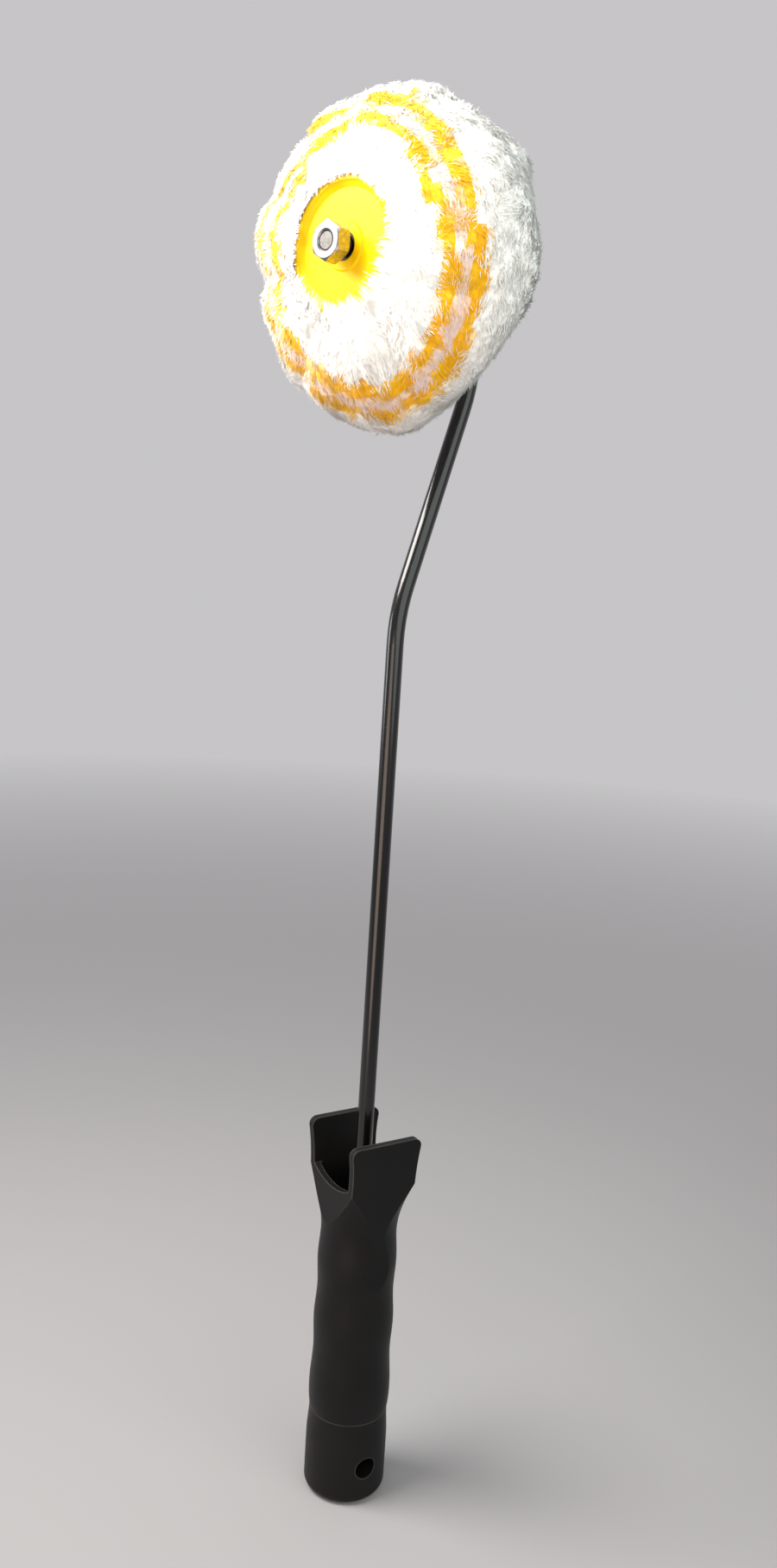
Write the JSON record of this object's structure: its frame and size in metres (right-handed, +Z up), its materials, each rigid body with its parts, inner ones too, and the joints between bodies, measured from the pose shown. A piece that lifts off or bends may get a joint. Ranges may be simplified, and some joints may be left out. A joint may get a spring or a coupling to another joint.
{
  "type": "paint roller",
  "caption": "Small paint roller: a fat plush cover on a yellow-capped core turns on a long bent black wire frame with a forked black grip and a hanging hole.",
  "frame": {"origin": "middle of the hanging hole, on the handle's axis", "axes": "+Z up the handle's axis, Y along the roller's axle with the nut at the -Y end, X completes a right-handed frame"},
  "size_m": [0.098, 0.0733, 0.4568],
  "materials": {
    "black_moulding": "matt moulded polypropylene",
    "plug_moulding": "plain moulded nylon",
    "black_paint": "gloss black enamel",
    "zinc_plate": "bright zinc plate",
    "yellow_moulding": "satin moulded polypropylene",
    "bush_moulding": "plain moulded acetal",
    "core_board": "resin board tube",
    "plush_pile": "long knitted pile with two yellow stripes near one end"
  },
  "bodies": {
    "frame": {"handle_grip": "black_moulding", "handle_end": "black_moulding", "shank_plug": "plug_moulding", "wire_frame": "black_paint", "rear_washer": "zinc_plate", "hex_nut": "zinc_plate"},
    "roller": {"front_end_cap": "yellow_moulding", "rear_end_cap": "yellow_moulding", "front_bush": "bush_moulding", "rear_bush": "bush_moulding", "core_tube": "core_board", "pile_cover": "plush_pile"}
  },
  "joints": [
    {"name": "roller_spin", "type": "hinge", "parent": "frame", "child": "roller", "pos_m": [0, -0.0115, 0.3946], "axis": [0, 1, 0], "continuous": true}
  ]
}
